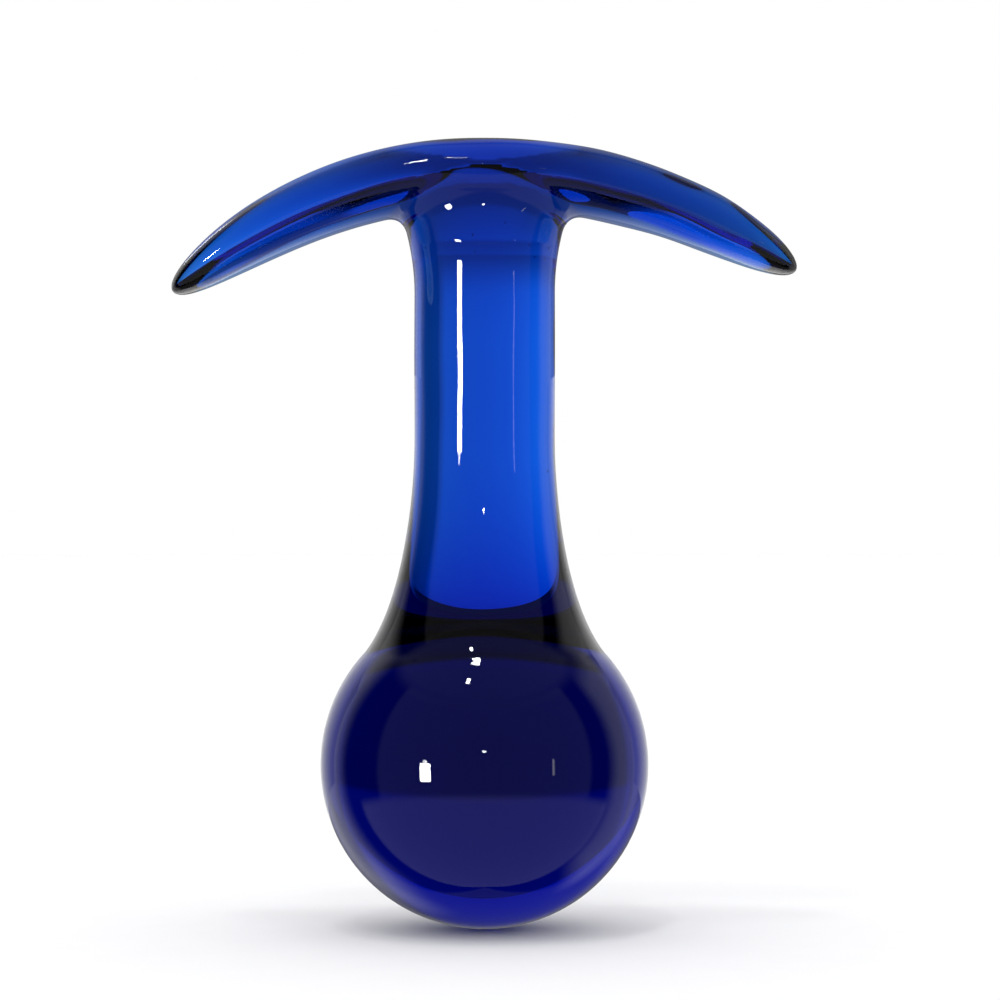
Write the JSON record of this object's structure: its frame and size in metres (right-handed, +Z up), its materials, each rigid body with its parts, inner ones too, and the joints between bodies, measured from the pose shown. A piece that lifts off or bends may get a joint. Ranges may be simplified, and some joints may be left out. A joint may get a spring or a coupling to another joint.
{
  "type": "solid glass plug with crossbar",
  "caption": "Solid cobalt blue glass ball on a waisted neck, topped by an arched crossbar whose arms taper to round tips.",
  "frame": {"origin": "lowest point of the ball, on the axis of the neck", "axes": "+Z up the neck towards the crossbar, X along the crossbar with the lower-hanging arm at -X, Y across it"},
  "size_m": [0.0791, 0.0414, 0.1],
  "materials": {
    "ball_glass": "solid cobalt blue glass, fire-polished, dark and slightly violet in its thickness",
    "neck_glass": "solid cobalt blue glass, fire-polished, bright azure where it is thin",
    "bar_glass": "solid cobalt blue glass, fire-polished, with soft tool waves"
  },
  "bodies": {
    "root": {"ball": "ball_glass", "neck": "neck_glass", "crossbar": "bar_glass"}
  },
  "joints": []
}
